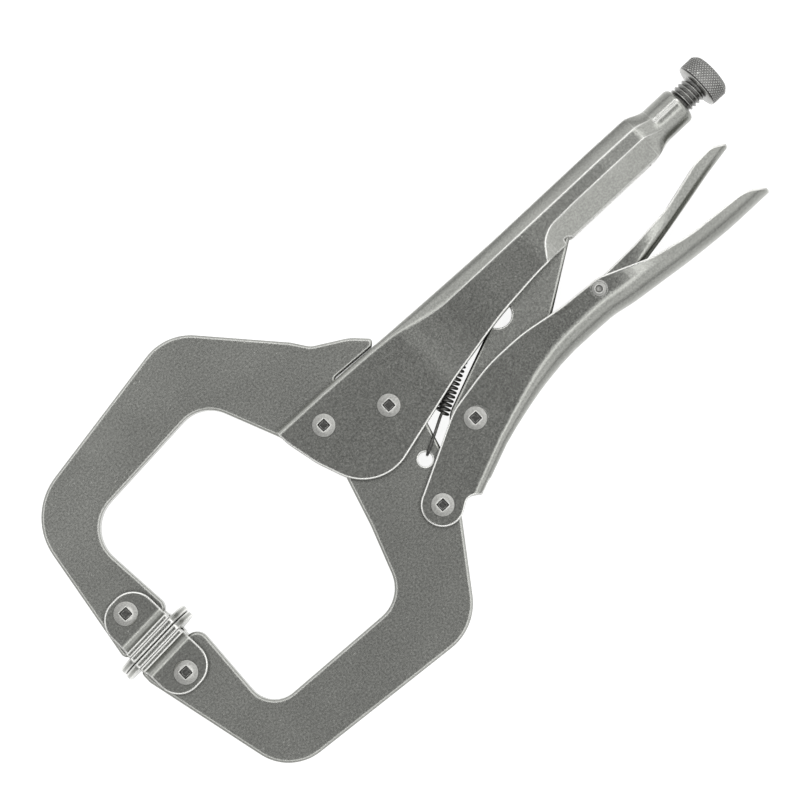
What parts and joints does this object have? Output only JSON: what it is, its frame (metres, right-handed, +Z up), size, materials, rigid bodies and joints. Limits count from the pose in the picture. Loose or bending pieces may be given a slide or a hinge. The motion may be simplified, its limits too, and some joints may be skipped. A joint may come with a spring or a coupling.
{
  "type": "locking c-clamp pliers",
  "caption": "Locking pliers with wide C-shaped clamp jaws, swivel pads, an adjusting screw and a release lever, for clamping around edges.",
  "frame": {"origin": "middle of the tool's length and width, on the plane it rests on when it lies on its side", "axes": "+X along the adjusting screw towards its knob, +Y towards the back of the fixed handle, +Z up through the tool's thickness"},
  "size_m": [0.2809, 0.1403, 0.0236],
  "materials": {
    "plate_steel": "satin nickel plate",
    "sheet_steel": "satin nickel plate",
    "rivet_steel": "satin nickel plate",
    "screw_steel": "satin nickel plate",
    "spring_steel": "black oxide"
  },
  "bodies": {
    "frame": {"upper_handle": "sheet_steel", "fixed_jaw": "plate_steel", "fixed_jaw_rivet": "rivet_steel", "jaw_pivot_rivet": "rivet_steel"},
    "jaw": {"moving_jaw": "plate_steel", "spring": "spring_steel"},
    "handle": {"lower_handle": "sheet_steel", "handle_pivot_rivet": "rivet_steel", "toggle_pivot_rivet": "rivet_steel", "release_lever_rivet": "rivet_steel"},
    "link": {"toggle_link": "plate_steel"},
    "lever": {"release_lever": "sheet_steel"},
    "screw_carrier": {"screw_tip": "screw_steel"},
    "screw": {"adjusting_screw": "screw_steel"},
    "upper_pad": {"upper_pad_disc": "sheet_steel", "upper_pad_ear_front": "sheet_steel", "upper_pad_ear_back": "sheet_steel", "upper_pad_rivet": "rivet_steel"},
    "lower_pad": {"lower_pad_disc": "sheet_steel", "lower_pad_ear_front": "sheet_steel", "lower_pad_ear_back": "sheet_steel", "lower_pad_rivet": "rivet_steel"}
  },
  "joints": [
    {"name": "jaw_pivot", "type": "hinge", "parent": "frame", "child": "jaw", "pos_m": [-0.0155, 0.0033, 0.0118], "axis": [0, 0, 1], "range_deg": [0, 30], "deforming": ["spring"]},
    {"name": "handle_pivot", "type": "hinge", "parent": "jaw", "child": "handle", "pos_m": [-0.025, -0.033, 0.0118], "axis": [0, 0, 1], "range_deg": [-86, 0]},
    {"name": "toggle_pivot", "type": "hinge", "parent": "handle", "child": "link", "pos_m": [0.0026, -0.0194, 0.0118], "axis": [0, 0, 1], "range_deg": [0, 84.5]},
    {"name": "release_pivot", "type": "hinge", "parent": "handle", "child": "lever", "pos_m": [0.0617, -0.0162, 0.0118], "axis": [0, 0, 1], "range_deg": [-12, 0]},
    {"name": "upper_pad_swivel", "type": "hinge", "parent": "frame", "child": "upper_pad", "pos_m": [-0.1261, 0.0123, 0.0118], "axis": [0, 0, 1], "range_deg": [0, 15.5]},
    {"name": "lower_pad_swivel", "type": "hinge", "parent": "jaw", "child": "lower_pad", "pos_m": [-0.1247, -0.0154, 0.0118], "axis": [0, 0, 1], "range_deg": [-15.5, 0]},
    {"name": "screw_turn", "type": "hinge", "parent": "screw_carrier", "child": "screw", "pos_m": [0.1045, 0.01125, 0.0118], "axis": [1, 0, 0], "range_deg": [0, 5402]},
    {"name": "screw_travel", "type": "slide", "parent": "frame", "child": "screw_carrier", "axis": [1, 0, 0], "range_m": [0, 0.0238]}
  ],
  "couplings": [
    {"joint": "handle_pivot", "follows": "jaw_pivot", "ratio": -2.85},
    {"joint": "toggle_pivot", "follows": "jaw_pivot", "ratio": 2.8},
    {"joint": "upper_pad_swivel", "follows": "jaw_pivot", "ratio": 0.5},
    {"joint": "lower_pad_swivel", "follows": "jaw_pivot", "ratio": -0.5},
    {"joint": "screw_turn", "follows": "screw_travel", "rad_per_m": 3957.9}
  ]
}
